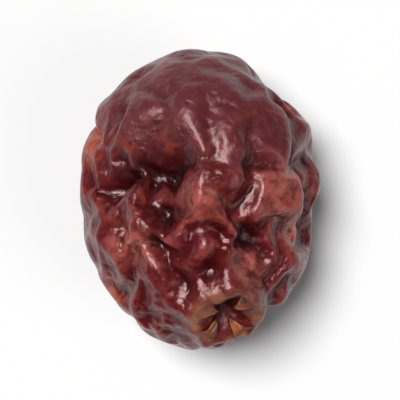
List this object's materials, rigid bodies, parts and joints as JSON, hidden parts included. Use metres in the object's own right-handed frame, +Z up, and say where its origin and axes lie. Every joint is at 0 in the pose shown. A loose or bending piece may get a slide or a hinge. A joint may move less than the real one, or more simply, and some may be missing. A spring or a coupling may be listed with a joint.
{
  "type": "dried cranberry",
  "caption": "Whole dried cranberry, dark garnet red and glossy, lying on its side, with a wrinkled skin, deep hollows and folds, and an open flower scar at one end",
  "frame": {"origin": "under the middle of the berry, on the level that it rests on", "axes": "+Z up, +Y along the berry towards its stalk end, +X across it, so the flower scar is at the -Y end of the upper side"},
  "size_m": [0.0112, 0.014, 0.0088],
  "materials": {
    "cranberry_skin": "glossy, slightly sticky dried fruit skin, dark garnet red, with a tan scar"
  },
  "bodies": {
    "root": {"dried_cranberry": "cranberry_skin"}
  },
  "joints": []
}
